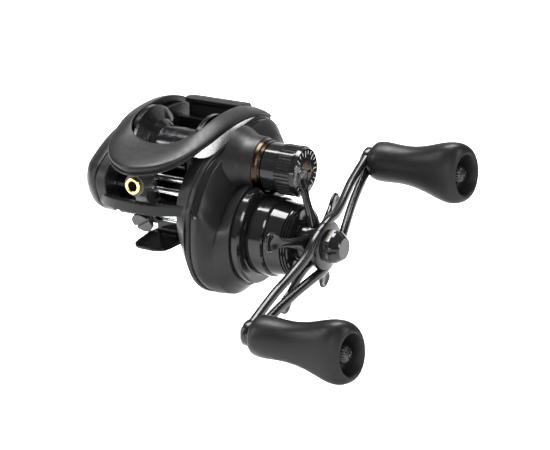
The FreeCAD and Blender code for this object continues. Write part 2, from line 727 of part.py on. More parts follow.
def drag_housing():
    """The drum and its round plinth, cut away beside the cast control's boss."""
    drum = profile("Drum", [
        ("31.3", "8"), ("31.3", "13"), ("cover_face", "13"), ("cover_face", "plinth_radius"),
        ("plinth_face - 0.6", "plinth_radius"), ("plinth_face", "plinth_radius - 0.6"),
        ("plinth_face", "drag_drum_radius + 0.6"), ("plinth_face + 0.5", "drag_drum_radius - 0.8"),
        ("plinth_face + 1", "drag_drum_radius"), ("drag_drum_face - 0.5", "drag_drum_radius"),
        ("drag_drum_face", "drag_drum_radius - 0.5"), ("drag_drum_face", "one_way_radius"),
        ("33", "one_way_radius"), ("33", "8")])
    bind(drum, "Placement.Base.y", MAIN_AXIS[0])
    bind(drum, "Placement.Base.z", MAIN_AXIS[1])
    boss_room = rod("cover_face - 2", "plinth_face + 1", "boss_radius + 0.1")
    return keep(cut(drum, boss_room), "drag_housing")


def bearing_collar():
    grooves = []
    for i in range(3):
        x = 48.6 + 0.9 * i
        grooves += [("%g" % x, "12.1 - %g" % (0.25 * i)), ("%g" % (x + 0.1), "11.5 - %g" % (0.25 * i)),
                    ("%g" % (x + 0.4), "11.5 - %g" % (0.25 * i)),
                    ("%g" % (x + 0.5), "12 - %g" % (0.25 * i))]
    return turned("bearing_collar", [
        ("drag_drum_face", "6.6"), ("drag_drum_face", "collar_radius - 0.3"),
        ("drag_drum_face + 0.3", "collar_radius")] + grooves + [
        ("collar_face", "11"), ("collar_face", "6.8"), ("46.4", "6.8"), ("46.4", "8"),
        ("43.4", "8"), ("43.4", "6.6")], MAIN_AXIS)


def arm_path(stations):
    """A swept-back flat arm's centre line: (radius, x) stations joined by one spline."""
    curve = Part.BSplineCurve()
    curve.interpolate([Vector(x, r, 0) for r, x in stations])
    return curve


def arm_band(stations, thickness, half_width):
    """The arm's side band, thick along X and wide across the arm."""
    near = arm_path([(r, x - thickness / 2) for r, x in stations])
    far = arm_path([(r, x + thickness / 2) for r, x in stations])
    ends = [Part.LineSegment(near.StartPoint, far.StartPoint),
            Part.LineSegment(near.EndPoint, far.EndPoint)]
    wire = Part.Wire(Part.__sortEdges__([e.toShape() for e in [near, far] + ends]))
    wire.translate(Vector(0, 0, -half_width))
    return Part.Face(wire).extrude(Vector(0, 0, 2 * half_width))


STAR_ARM = [(3, 55.8), (7, 55), (12, 53.2), (18, 51.6), (26, 50.6)]


def star_drag():
    reach = value("star_reach")
    band = arm_band(STAR_ARM, 2.2, 5)
    outline = [(3, -3.2), (9, -2.4), (reach - 8, -2.3), (reach - 4.5, -3.1), (reach - 1, -2.2),
               (reach, 0)]
    edge = [(y, z) for y, z in outline + [(y, -z) for y, z in reversed(outline[:-1])]]
    arm = band.common(plate(edge, 45, 60))
    arms = []
    for i in range(5):
        turned_arm = arm.copy()
        turned_arm.rotate(Vector(), Vector(1, 0, 0), value("star_first_arm") + 72 * i)
        arms.append(turned_arm)
    hub = bar(51.5, value("star_hub_radius"), 6.1).fuse(bar(50.9, 5.5, 1))
    shape = hub.fuse(arms).cut(bar(50, value("shaft_radius + running_gap"), 9))
    shape.translate(Vector(0, *main_axis_point()))
    return formed("star_drag", shape)


def handle_path():
    hub = value("handle_hub_face - handle_thickness / 2")
    end = value("handle_end_face - handle_thickness / 2")
    half = value("post_spacing / 2")
    return [(0, hub), (8, hub), (15, hub - 1.1), (24, (hub + end) / 2), (33, end + 1),
            (half - 4, end), (half + 5, end)]


def handle_turned(shape):
    """Turn a shape from along +Y to the handle's own direction, on the main shaft."""
    shape.rotate(Vector(), Vector(1, 0, 0), value("handle_angle"))
    shape.translate(Vector(0, *main_axis_point()))
    return shape


def handle_arm():
    half = value("post_spacing / 2")
    hub, end = value("handle_hub_radius"), value("handle_end_radius")
    band = arm_band(handle_path(), value("handle_thickness"), 12)
    outline = [(0, hub), (3, hub - 0.3), (half - 1.5, end), (half - 1.5, -end), (3, 0.3 - hub), (0, -hub)]
    window = [(10.5, 3.6), (half - 7, 1.3), (half - 7, -1.3), (10.5, -3.6)]
    plan = plate(outline, 45, 65).fuse(bar(45, end, 20, half, 0)).cut(plate(window, 45, 65))
    arm = band.common(plan)
    other = arm.copy()
    other.rotate(Vector(), Vector(1, 0, 0), 180)
    face = value("handle_hub_face")
    boss = bar(face - 3.2, hub, 3.2)
    shape = arm.fuse([other, boss])
    holes = [bar(45, value("shaft_radius"), 20), block((face, -60, -20), (face + 5, 60, 20))]
    for y in (half, -half):
        holes += [bar(45, value("post_radius"), 20, y, 0),
                  bar(45, 3.1, value("handle_end_face - handle_thickness") - 45, y, 0)]
    return formed("handle_arm", handle_turned(shape.cut(holes)))


def hexagon(across, start, length):
    corner = across / math.sqrt(3)
    points = [(corner * math.cos(a), corner * math.sin(a))
              for a in (math.radians(60 * i) for i in range(6))]
    return plate(points, start, start + length)


def handle_nut():
    face = value("handle_hub_face")
    shape = hexagon(10, face, 2.3).cut(bar(face - 1, value("shaft_radius"), 9))
    return formed("handle_nut", handle_turned(shape))


def nut_cap():
    return turned("nut_cap", [("63.3", "0"), ("63.3", "5.6"), ("64.2", "5.4"), ("66.2", "4"),
                              ("66.6", "3.6"), ("66.6", "0")], MAIN_AXIS)


def handle_posts_at():
    half = value("post_spacing / 2")
    turn = math.radians(value("handle_angle"))
    y, z = main_axis_point()
    return {"upper": (y + half * math.cos(turn), z + half * math.sin(turn)),
            "lower": (y - half * math.cos(turn), z - half * math.sin(turn))}


def knob_posts():
    face = value("handle_end_face")
    posts = []
    for y, z in handle_posts_at().values():
        post = bar(face - 3, value("post_radius"), 28.6, y, z)
        head = bar(face - 3.8, 3, 0.8, y, z)
        nut = bar(face + 25.6, 3.2, 1.4, y, z)
        posts.append(post.fuse([head, nut]))
    return formed("knob_posts", Part.makeCompound(posts))


def knob_bushes():
    face = value("handle_end_face")
    bushes = []
    for y, z in handle_posts_at().values():
        for x in (face + 0.4, face + 23):
            bush = bar(x, value("paddle_bore - running_gap"), 2.5, y, z)
            bushes.append(bush.cut(bar(x - 1, value("post_radius"), 5, y, z)))
    return formed("knob_bushes", Part.makeCompound(bushes))


# Stations along a paddle: distance from its inner end, half width across the flat, half depth.
PADDLE = [(0, 5.6, 5.6), (1.6, 6.8, 6.8), (6, 6.9, 6.6), (14, 6.8, 5.7), (22, 8.4, 5.6),
          (29, 10.6, 5.9), (35, 10.8, 5.8), (38.5, 8.6, 4.8)]


def paddle(place):
    start = value("handle_end_face + 0.3")
    y, z = handle_posts_at()[place]
    wires = []
    for x, wide, deep in PADDLE:
        points = [(wide * math.cos(a), deep * math.sin(a))
                  for a in (math.radians(30 * i) for i in range(12))]
        wires.append(closed_spline(start + x, points))
    shape = Part.makeLoft(wires, True, False)
    shape.rotate(Vector(), Vector(1, 0, 0), PADDLE_TURN)
    bore = bar(start - 1, value("paddle_bore"), 30)
    end = bar(start + 28.4, value("paddle_bore + 0.6"), 12)
    shape = shape.cut([bore, end])
    shape.translate(Vector(0, y, z))
    return formed("paddle_knob_" + place, shape)


PADDLE_TURN = 90


def knob_cap(place):
    start = value("handle_end_face + 0.3")
    y, z = handle_posts_at()[place]
    cap = bar(start + 29, value("paddle_bore + 0.6"), 3.6, y, z)
    ribs = [bar(start + 28, 0.45, 7, y + 4.6 * math.cos(a), z + 4.6 * math.sin(a))
            for a in (math.radians(20 * i) for i in range(18))]
    return formed("knob_cap_" + place, cap.cut(ribs))


# --- Cast control knob -----------------------------------------------------------------------

def cast_control_ring():
    return turned("cast_control_ring", [("boss_face", "neck_radius"), ("boss_face", "9.2"),
                                        ("boss_face + 1.2", "9"), ("boss_face + 1.6", "8.5"),
                                        ("boss_face + 2.6", "8.5"), ("boss_face + 2.6", "neck_radius")])


def cast_control_knob():
    start, face = value("tension_start"), value("tension_face")
    radius = value("tension_radius")
    count = int(value("flutes"))
    body = bar(start, 8.3, 5).fuse([bar(start + 5, radius, 6.2),
                                    Part.makeCone(radius - 0.3, 7.9, face - start - 11.2,
                                                  Vector(start + 11.2, 0, 0), Vector(1, 0, 0))])
    flutes = [bar(start + 5.3, 0.32, 5.6, radius * math.cos(a), radius * math.sin(a))
              for a in (2 * math.pi * i / count for i in range(count))]
    bore = bar(start - 1, value("neck_radius + running_gap"), value("neck_end") - start + 1.4)
    recess = bar(face - 1, 3.6, 2)
    return formed("cast_control_knob", body.cut(flutes + [bore, recess]))


def coin_slot_insert():
    face = value("tension_face")
    slot = block((face - 0.5, -3.4, -0.5), (face + 1, 3.4, 0.5))
    return formed("coin_slot_insert", bar(face - 1, 3.6, 1.2).cut(slot))


# --- Level wind ------------------------------------------------------------------------------

def pawl_direction():
    tilt = math.radians(value("pawl_tilt"))
    return Vector(0, -math.sin(tilt), -math.cos(tilt))


def worm_shaft():
    axis = ("%.6f" % worm_axis_point()[0], "%.6f" % worm_axis_point()[1])
    return turned("worm_shaft", [("-14.4", "0"), ("-14.4", "1.2"), ("-12", "1.2"),
                                 ("-12", "worm_radius"), ("13", "worm_radius"), ("13", "1.2"),
                                 ("18.2", "1.2"), ("18.2", "0")], axis)


def worm_guard():
    y, z = worm_axis_point()
    start = -value("palm_wall_inner") - 0.5
    tube = bar(start, value("guard_radius"), 27, y, z)
    tube = tube.cut(bar(start - 1, value("worm_radius + 0.1"), 30, y, z))
    slot = Part.makeBox(22.6, 4, 5, Vector(-11.3, y - 2, z - 5.5))
    slot.rotate(Vector(0, y, z), Vector(1, 0, 0), -value("pawl_tilt"))
    return formed("worm_guard", tube.cut(slot))


def guide_rods():
    rods = [bar(ROD_START, value("rod_radius"), ROD_END - ROD_START, value(y), value(z))
            for y, z in (("front_rod_y", "front_rod_z"), ("rear_rod_y", "rear_rod_z"))]
    return formed("guide_rods", Part.makeCompound(rods))


def line_guide():
    y, z = worm_axis_point()
    half = value("guide_half")
    ring_y, ring_z = value("ring_y"), value("ring_z")
    along = pawl_direction()
    sleeve = bar(-half, 4.3, 2 * half, y, z)
    web = plate([(y - 3.8, z + 1), (y - 6.3, z + 6.4), (y - 7, -1.6), (-22.6, -1.6), (-19.2, -5.6),
                 (-18.6, -9), (y + 3.2, z + 2.4), (y, z)], -2.4, 2.4)
    head = Part.makeCylinder(3.8, ring_y * -1 - 22.6, Vector(0, ring_y, ring_z), Vector(0, 1, 0))
    barrel = Part.makeCylinder(2.7, 5.3, Vector(0, y, z), along)
    shape = sleeve.fuse([web, head, barrel])
    hole = Part.makeCylinder(value("ring_hole"), 16, Vector(0, ring_y - 2, ring_z), Vector(0, 1, 0))
    holes = [hole, bar(-half - 1, value("guard_radius + 0.1"), 2 * half + 2, y, z),
             bar(-5, value("rod_radius + 0.1"), 10, value("front_rod_y"), value("front_rod_z")),
             Part.makeCylinder(1.45, 8, Vector(0, y, z), along)]
    return formed("line_guide", shape.cut(holes))


def guide_ring():
    y, z = value("ring_y"), value("ring_z")
    outer = Part.makeCylinder(value("ring_radius"), 1.3, Vector(0, y - 1.3, z), Vector(0, 1, 0))
    inner = Part.makeCylinder(value("ring_hole"), 3, Vector(0, y - 2, z), Vector(0, 1, 0))
    shape = outer.cut(inner)
    rims = [e for e in shape.Edges if abs(e.BoundBox.YMin - (y - 1.3)) < 0.01
            and e.BoundBox.YLength < 0.01]
    return formed("guide_ring", shape.makeFillet(0.5, rims))


def pawl():
    y, z = worm_axis_point()
    along = pawl_direction()
    start = Vector(0, y, z) + along * value("worm_radius + 0.1")
    tip = Part.makeCylinder(1.3, value("pawl_cap_face") - 1.6 - value("worm_radius"), start, along)
    return formed("pawl", tip)


def pawl_cap():
    y, z = worm_axis_point()
    along = pawl_direction()
    face = value("pawl_cap_face")
    disc = Part.makeCylinder(value("pawl_cap_radius"), 1.4,
                             Vector(0, y, z) + along * (face - 1.4), along)
    slot = block((-5, y - 0.45, z - face - 1), (5, y + 0.45, z - face + 0.6))
    slot.rotate(Vector(0, y, z), Vector(1, 0, 0), -value("pawl_tilt"))
    slot.rotate(Vector(0, y, z), along, 35)
    return formed("pawl_cap", disc.cut(slot))


# --- Clutch ----------------------------------------------------------------------------------

def yoke_posts_at():
    reach = value("yoke_post_reach")
    a = math.radians(value("yoke_post_angle"))
    return [(reach * math.cos(a), reach * math.sin(a)), (-reach * math.cos(a), reach * math.sin(a))]


def yoke():
    start, thick = value("yoke_start"), value("yoke_thickness")
    outline = [(-7, -0.8), (-2.1, -0.8), (2.1, -0.8), (7, -0.8), (7.1, 3), (3, 4.1), (-3, 4.1),
               (-7.1, 3)]
    plan = plate(outline, start, start + thick)
    notch = bar(start - 1, 2.1, 4).fuse(block((start - 1, -2.1, -3), (start + 3, 2.1, 0)))
    holes = [bar(start - 1, 0.8, 4, y, z) for y, z in yoke_posts_at()]
    return formed("yoke", plan.cut([notch] + holes))


def yoke_posts():
    start = value("gear_wall_outer") - 1.2
    length = value("boss_floor") - start
    posts = [bar(start, YOKE_POST_RADIUS, length, y, z) for y, z in yoke_posts_at()]
    return formed("yoke_posts", Part.makeCompound(posts))


def yoke_springs():
    """Two compression springs, drawn at the length they have when pressed."""
    start, end = value("yoke_start + yoke_thickness + 1.4"), value("boss_floor")
    springs = []
    for y, z in yoke_posts_at():
        wire = Part.makeHelix(0.95, end - start - 0.5, 1.05)
        profile = Part.Wire(Part.makeCircle(0.16, Vector(1.05, 0, 0), Vector(0, 1, 0)))
        coil = Part.Wire(wire).makePipeShell([profile], True, True)
        coil.rotate(Vector(), Vector(0, 1, 0), 90)
        coil.translate(Vector(start + 0.25, y, z))
        springs.append(coil)
    return formed("yoke_springs", Part.makeCompound(springs))


def clutch_cam():
    """The ring that lifts the yoke, with the arm that the thumb bar pushes down."""
    collar = bar(16.7, 4.9, 1.2)
    arm = block((16.7, 4, -1.2), (17.9, 20, 1.2))
    arm.rotate(Vector(), Vector(1, 0, 0), -13)
    tail = block((16.7, 4, -1), (17.9, 8.4, 1))
    tail.rotate(Vector(), Vector(1, 0, 0), -70)
    return formed("clutch_cam", collar.fuse([arm, tail]).cut(bar(16, 3.9, 4)))


def kick_lever():
    """The small finger that the ratchet throws back to engage the clutch."""
    a = math.radians(-70)
    pivot = (7.4 * math.cos(a), 7.4 * math.sin(a))
    lever = bar(17.9, 1, 1.2, *pivot)
    finger = block((18.2, pivot[0] - 0.7, pivot[1] - 3), (19.1, pivot[0] + 0.7, pivot[1]))
    return formed("kick_lever", lever.fuse(finger))


def thumb_bar():
    """The grooved bar behind the spool, with the leg that reaches the clutch."""
    side = [(18.9, 4.4), (18.9, 11.6), (16.6, 12.8), (16.2, 14.2), (18, 14.8), (22.5, 14),
            (24.6, 11.4), (24.6, 8.6), (21, 4.4)]
    pad = plate(side, -9.6, 13.4)
    grooves = [bar(-10.5, 0.28, 25, 16.9 + 1.25 * i, 14.7 - 0.24 * max(0, i - 1)) for i in range(5)]
    leg = block((12.4, 19, -3), (17.9, 20.6, 9.4))
    return formed("thumb_bar", pad.cut(grooves).fuse(leg))


# --- Build every sub-part --------------------------------------------------------------------

BUILDERS = [
    frame, front_hood, reel_foot, foot_screws, palm_side_plate, gear_side_cover, spool, spool_shaft,
    clutch_pin, brake_rotor, brake_blocks, brake_drum, brake_dial, drive_gear, pinion_gear,
    worm_drive_gear, worm_gear, main_shaft, shaft_bush, ratchet, drag_stack, anti_reverse_sleeve,
    spring_washers, drag_housing, bearing_collar, star_drag, handle_arm, handle_nut, nut_cap,
    knob_posts, knob_bushes, cast_control_ring, cast_control_knob, coin_slot_insert, worm_shaft,
    worm_guard, guide_rods, line_guide, guide_ring, pawl, pawl_cap, yoke, yoke_posts, yoke_springs,
    clutch_cam, kick_lever, thumb_bar, cover_screws,
]
for build in BUILDERS:
    build()
for side in ("upper", "lower"):
    paddle(side)
    knob_cap(side)
formed("left_side_trim", side_trim_shape(*LEFT_TRIM))
formed("right_side_trim", side_trim_shape(*RIGHT_TRIM))
ball_bearing("palm_bearing", "-22.2", "-19.8", "bearing_radius", "spool_shaft_radius + running_gap")
ball_bearing("knob_side_bearing", "33.6", "36", "bearing_radius", "spool_shaft_radius + running_gap")
ball_bearing("pinion_bearing", "28", "30.4", "bearing_radius", "2.6 + running_gap")
ball_bearing("drive_bearing", "43.4", "46.4", "8", "shaft_radius + running_gap", MAIN_AXIS)
keep(ring("33", "41", "one_way_radius", "sleeve_radius + running_gap", MAIN_AXIS),
     "anti_reverse_bearing")
doc.recompute()

failed = [feature.Label for feature in doc.Objects
          if "Invalid" in feature.State or "Error" in feature.State]
failed += [part.Label for part in parts if part.Shape.isNull() or not part.Shape.isValid()]
if failed:
    raise RuntimeError("these did not build: %s" % ", ".join(failed))

os.makedirs("parts", exist_ok=True)
for part in parts:
    part.Shape.exportStep(os.path.join("parts", part.Label + ".step"))
print(len(parts), "sub-parts written")
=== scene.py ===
import json
import math

import bmesh
import bpy
from mathutils import Matrix, Vector


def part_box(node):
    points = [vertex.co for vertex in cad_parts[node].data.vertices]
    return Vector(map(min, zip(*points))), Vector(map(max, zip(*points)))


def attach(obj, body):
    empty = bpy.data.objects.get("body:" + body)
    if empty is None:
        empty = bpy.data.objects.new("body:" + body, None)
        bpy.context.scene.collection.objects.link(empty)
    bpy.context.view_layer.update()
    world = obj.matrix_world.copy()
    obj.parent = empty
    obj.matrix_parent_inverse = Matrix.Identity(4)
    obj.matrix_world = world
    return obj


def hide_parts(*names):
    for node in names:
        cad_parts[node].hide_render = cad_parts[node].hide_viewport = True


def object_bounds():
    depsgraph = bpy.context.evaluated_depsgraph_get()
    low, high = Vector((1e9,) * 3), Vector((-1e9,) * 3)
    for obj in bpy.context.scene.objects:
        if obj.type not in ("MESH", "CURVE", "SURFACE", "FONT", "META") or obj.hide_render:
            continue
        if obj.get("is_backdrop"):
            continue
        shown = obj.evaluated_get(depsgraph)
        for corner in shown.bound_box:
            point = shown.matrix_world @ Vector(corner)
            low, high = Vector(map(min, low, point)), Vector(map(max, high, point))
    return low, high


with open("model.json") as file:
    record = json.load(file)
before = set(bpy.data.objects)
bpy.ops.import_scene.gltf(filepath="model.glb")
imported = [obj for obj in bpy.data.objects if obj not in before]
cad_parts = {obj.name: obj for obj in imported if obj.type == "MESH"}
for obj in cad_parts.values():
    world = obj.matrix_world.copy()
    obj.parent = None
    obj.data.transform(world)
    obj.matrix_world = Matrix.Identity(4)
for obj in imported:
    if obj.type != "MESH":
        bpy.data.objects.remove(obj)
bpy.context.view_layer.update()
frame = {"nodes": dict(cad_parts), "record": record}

# The reel is modelled in millimetres from the middle of the spool axis, +X towards the handle and
# -Y towards the line, then put in the frame's metres by place().
MM = 0.001
SPOOL_LOW, SPOOL_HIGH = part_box("spool")
SPOOL_CENTRE = Vector([(a + b) / 2 for a, b in zip(SPOOL_LOW, SPOOL_HIGH)])
SHAFT_LOW, SHAFT_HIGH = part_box("main_shaft")
SHAFT_Y = ((SHAFT_LOW[1] + SHAFT_HIGH[1]) / 2 - SPOOL_CENTRE.y) / MM
SHAFT_Z = ((SHAFT_LOW[2] + SHAFT_HIGH[2]) / 2 - SPOOL_CENTRE.z) / MM


def place(x, y, z):
    """A point given in millimetres from the spool's middle, as metres in the frame."""
    return SPOOL_CENTRE + Vector((x, y, z)) * MM


# --- Materials -------------------------------------------------------------------------------

# Sharp edges catch light as if rounded by this much, in millimetres.
EDGE_RADIUS = 0.22


def socket(shader, name, value):
    shader.inputs[name].default_value = value


def new_material(name, colour, metallic, roughness):
    material = bpy.data.materials.new(name)
    material.use_nodes = True
    shader = material.node_tree.nodes["Principled BSDF"]
    socket(shader, "Base Color", (*colour, 1))
    socket(shader, "Metallic", metallic)
    socket(shader, "Roughness", roughness)
    return material, shader


def node(material, kind, **inputs):
    made = material.node_tree.nodes.new(kind)
    for name, number in inputs.items():
        made.inputs[name.replace("_", " ")].default_value = number
    return made


def object_coordinates(material):
    return node(material, "ShaderNodeTexCoord").outputs["Object"]


def link(material, start, end):
    material.node_tree.links.new(start, end)


def noise(material, scale, detail=4, roughness=0.55):
    """Noise over the object, scale counted in features per millimetre."""
    made = node(material, "ShaderNodeTexNoise", Scale=scale / MM, Detail=detail, Roughness=roughness)
    link(material, object_coordinates(material), made.inputs["Vector"])
    return made


def ramp(material, source, low, high, start=0.35, end=0.65):
    """Maps a noise onto the range low to high."""
    made = node(material, "ShaderNodeMapRange", From_Min=start, From_Max=end, To_Min=low, To_Max=high)
    link(material, source, made.inputs["Value"])
    return made.outputs["Result"]


def blend_colours(material, factor, first, second):
    made = material.node_tree.nodes.new("ShaderNodeMix")
    made.data_type = "RGBA"
    made.inputs["A"].default_value = (*first, 1)
    made.inputs["B"].default_value = (*second, 1)
    link(material, factor, made.inputs["Factor"])
    return made.outputs["Result"]


def bump(material, shader, height, distance, strength=0.3, before=None):
    made = node(material, "ShaderNodeBump", Strength=strength, Distance=distance * MM)
    link(material, height, made.inputs["Height"])
    if before is None:
        before = node(material, "ShaderNodeBevel", Radius=EDGE_RADIUS * MM)
    link(material, before.outputs["Normal"], made.inputs["Normal"])
    link(material, made.outputs["Normal"], shader.inputs["Normal"])
    return made


def surface_detail(material, shader, colour, shift, rough, rough_shift, grain, depth, strength=0.3):
    """Uneven colour and gloss, and a fine grain in the surface."""
    broad = noise(material, 0.12)
    lighter = tuple(c * (1 + shift) for c in colour)
    darker = tuple(c * (1 - shift) for c in colour)
    link(material, blend_colours(material, broad.outputs["Fac"], darker, lighter),
         shader.inputs["Base Color"])
    smudges = noise(material, 0.5, detail=6)
    link(material, ramp(material, smudges.outputs["Fac"], rough - rough_shift, rough + rough_shift),
         shader.inputs["Roughness"])
    return bump(material, shader, noise(material, grain, detail=2).outputs["Fac"], depth, strength)


def satin_paint():
    """Dark satin paint with a fine metal flake under it and faint orange peel."""
    colour = (0.0085, 0.0085, 0.009)
    material, shader = new_material("satin_paint", colour, 0.25, 0.42)
    first = surface_detail(material, shader, colour, 0.16, 0.4, 0.05, 1.2, 0.03, 0.25)
    flake = node(material, "ShaderNodeTexVoronoi", Scale=9 / MM)
    link(material, object_coordinates(material), flake.inputs["Vector"])
    bump(material, shader, flake.outputs["Color"], 0.01, 0.22, first)
    socket(shader, "Specular IOR Level", 0.2)
    return material


def gloss_paint(name="gloss_paint", colour=(0.006, 0.006, 0.0065), rough=0.1):
    """Deep black anodising or lacquer, with faint polishing haze."""
    material, shader = new_material(name, colour, 0.0, rough)
    surface_detail(material, shader, colour, 0.2, rough, 0.03, 0.35, 0.004, 0.06)
    socket(shader, "Specular IOR Level", 0.26)
    return material


def fine_edged(material, radius=0.03):
    """The same finish for knurling and fine grooves, which a wide rounding would smooth away."""
    for made in material.node_tree.nodes:
        if made.bl_idname == "ShaderNodeBevel":
            made.inputs["Radius"].default_value = radius * MM
    return material


def metal(name, colour, rough, shift=0.05, grain=3.0, depth=0.006):
    """Machined or polished metal with uneven gloss and fine tool marks."""
    material, shader = new_material(name, colour, 1.0, rough)
    surface_detail(material, shader, colour, shift, rough, rough * 0.3, grain, depth, 0.2)
    return material


def silver_with_painted_reflection():
    """Brushed silver trim whose pale, mostly diffuse colour is partly a painted reflection: it stays
    bright where it mirrors the black cover beside it.
    """
    material = metal("polished_trim", (0.92, 0.92, 0.93), 0.3, 0.02)
    # Low metallic leaves the near-white colour lit like paint, a painted reflection that stays bright
    # whatever the strip mirrors.
    socket(material.node_tree.nodes["Principled BSDF"], "Metallic", 0.35)
    return material


def turned_metal(name, colour, rough, marks=9.0):
    """Metal turned about X, with rings of tool marks."""
    material, shader = new_material(name, colour, 1.0, rough)
    first = surface_detail(material, shader, colour, 0.06, rough, rough * 0.3, 2.0, 0.004, 0.15)
    wave = node(material, "ShaderNodeTexWave", Scale=marks / MM / 20, Distortion=0.6, Detail=2.0)
    wave.bands_direction = "X"
    link(material, object_coordinates(material), wave.inputs["Vector"])
    bump(material, shader, wave.outputs["Fac"], 0.008, 0.25, first)
    return material


def plastic(name, colour, rough, grain=2.5, depth=0.02):
    """Moulded plastic with a fine spark-eroded grain."""
    material, shader = new_material(name, colour, 0.0, rough)
    surface_detail(material, shader, colour, 0.12, rough, 0.06, grain, depth, 0.3)
    return material


def soft_rubber():
    """Soft-touch rubber: broad dull highlights, a matt skin and small specks of dust."""
    colour = (0.006, 0.006, 0.0065)
    material, shader = new_material("soft_rubber", colour, 0.0, 0.4)
    first = surface_detail(material, shader, colour, 0.1, 0.38, 0.05, 4.0, 0.018, 0.35)
    pores = node(material, "ShaderNodeTexVoronoi", Scale=3.2 / MM)
    link(material, object_coordinates(material), pores.inputs["Vector"])
    bump(material, shader, pores.outputs["Distance"], 0.01, 0.15, first)
    socket(shader, "Specular IOR Level", 0.14)
    return material


def woven_carbon():
    """Carbon cloth friction washers: a plain weave of light and dark tows."""
    material, shader = new_material("woven_carbon", (0.02, 0.02, 0.02), 0.0, 0.5)
    checks = node(material, "ShaderNodeTexChecker", Scale=1.4 / MM,
                  Color1=(0.012, 0.012, 0.013, 1), Color2=(0.05, 0.05, 0.052, 1))
    link(material, object_coordinates(material), checks.inputs["Vector"])
    link(material, checks.outputs["Color"], shader.inputs["Base Color"])
    bump(material, shader, checks.outputs["Fac"], 0.03, 0.4)
    return material


SATIN = satin_paint()
GLOSS = gloss_paint()
KNURLED = fine_edged(gloss_paint("knurled_gloss"))
SPOOL_BLACK = turned_metal("spool_anodised", (0.035, 0.035, 0.037), 0.2)
CHROME = metal("chrome", (0.86, 0.87, 0.88), 0.1, 0.02)
TRIM = silver_with_painted_reflection()
STEEL = turned_metal("steel", (0.55, 0.55, 0.56), 0.28)
DARK_STEEL = turned_metal("dark_steel", (0.09, 0.085, 0.08), 0.3)
ALLOY = turned_metal("brake_alloy", (0.65, 0.65, 0.66), 0.3)
BRASS = turned_metal("gear_brass", (0.62, 0.46, 0.2), 0.28)
BRONZE = metal("bronze", (0.075, 0.042, 0.02), 0.22, 0.12)
DARK_BRONZE = metal("dark_bronze", (0.028, 0.02, 0.014), 0.24, 0.12)
GOLD = metal("gold_ring", (0.83, 0.58, 0.22), 0.14, 0.04)
PLASTIC = plastic("dark_plastic", (0.012, 0.012, 0.0125), 0.38)
PAWL_BLACK = gloss_paint("pawl_black", (0.006, 0.006, 0.0065), 0.3)
PALE_PAINT = plastic("pale_paint", (0.45, 0.44, 0.42), 0.5)
ARM_BLACK = gloss_paint("arm_black", (0.005, 0.005, 0.0055), 0.22)
RUBBER = soft_rubber()
CARBON = woven_carbon()

SLOT_MATERIALS = {
    "frame_paint": SATIN, "gloss_black": GLOSS, "polished_trim": TRIM, "steel": STEEL,
    "spool_black": SPOOL_BLACK, "dark_plastic": PLASTIC, "brake_alloy": ALLOY, "gear_brass": BRASS,
    "carbon": CARBON, "bronze": BRONZE, "gold_ring": GOLD, "chrome_rod": CHROME,
    "pawl_black": PAWL_BLACK, "cap_black": GLOSS, "soft_rubber": RUBBER, "knob_cap_black": GLOSS,
}


# --- Mesh helpers ----------------------------------------------------------------------------

def smooth_by_angle(piece, degrees=35):
    for face in piece.data.polygons:
        face.use_smooth = True
    edges = bmesh.new()
    edges.from_mesh(piece.data)
    limit = math.radians(degrees)
    for edge in edges.edges:
        edge.smooth = len(edge.link_faces) != 2 or edge.calc_face_angle(0) < limit
    edges.to_mesh(piece.data)
    edges.free()


def new_piece(name, mesh, body, slot, material, *stands_for):
    piece = bpy.data.objects.new(name, mesh)
    bpy.context.scene.collection.objects.link(piece)
    piece.data.materials.append(material)
    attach(piece, body)
    if stands_for:
        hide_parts(*stands_for)
    return piece


def tube_mesh(name, loops, closed=False):
    """Joins loops of millimetre points, all of one length, into a closed skin."""
    made = bmesh.new()
    rows = [[made.verts.new(place(*p)) for p in loop] for loop in loops]
    count = len(rows[0])
    pairs = list(zip(rows, rows[1:] + rows[:1])) if closed else list(zip(rows, rows[1:]))
    for first, second in pairs:
        for i in range(count):
            j = (i + 1) % count
            made.faces.new((first[i], first[j], second[j], second[i]))
    if not closed:
        for row in (rows[0], rows[-1]):
            made.faces.new(row)
    bmesh.ops.recalc_face_normals(made, faces=made.faces)
    mesh = bpy.data.meshes.new(name)
    made.to_mesh(mesh)
    made.free()
    return mesh


def subdivide(piece, levels=2):
    modifier = piece.modifiers.new("rounding", "SUBSURF")
    modifier.levels = levels
    modifier.render_levels = levels
    for face in piece.data.polygons:
        face.use_smooth = True


def spline(points, count, closed=False):
    """Points evenly spread in parameter along a Catmull-Rom curve through the given ones."""
    points = [Vector(p) for p in points]
    total = len(points) if closed else len(points) - 1
    result = []
    for i in range(count):
        along = total * i / (count if closed else count - 1)
        k = min(int(along), total - 1)
        t = along - k
        if closed:
            p = [points[(k + j) % len(points)] for j in (-1, 0, 1, 2)]
        else:
            p = [points[min(max(k + j, 0), len(points) - 1)] for j in (-1, 0, 1, 2)]
        result.append(0.5 * ((2 * p[1]) + (p[2] - p[0]) * t
                             + (2 * p[0] - 5 * p[1] + 4 * p[2] - p[3]) * t * t
                             + (3 * p[1] - p[0] - 3 * p[2] + p[3]) * t ** 3))
    return result


def turned_mesh(name, profile, axis=(0.0, 0.0), steps=96):
    """A skin turned about an axis parallel to X from a closed (x, radius) profile."""
    loops = []
    for i in range(steps):
        a = 2 * math.pi * i / steps
        loops.append([(x, axis[0] + r * math.cos(a), axis[1] + r * math.sin(a)) for x, r in profile])
    return tube_mesh(name, loops, closed=True)


MAIN = (SHAFT_Y, SHAFT_Z)


# --- CAD nodes: materials and softened edges --------------------------------------------------

NODE_SLOTS = {entry["node"]: entry["material_slot"] for entry in frame["record"]["subparts"]}


def dress_cad_nodes():
    for name, piece in frame["nodes"].items():
        piece.data.materials.clear()
        piece.data.materials.append(SLOT_MATERIALS[NODE_SLOTS[name]])


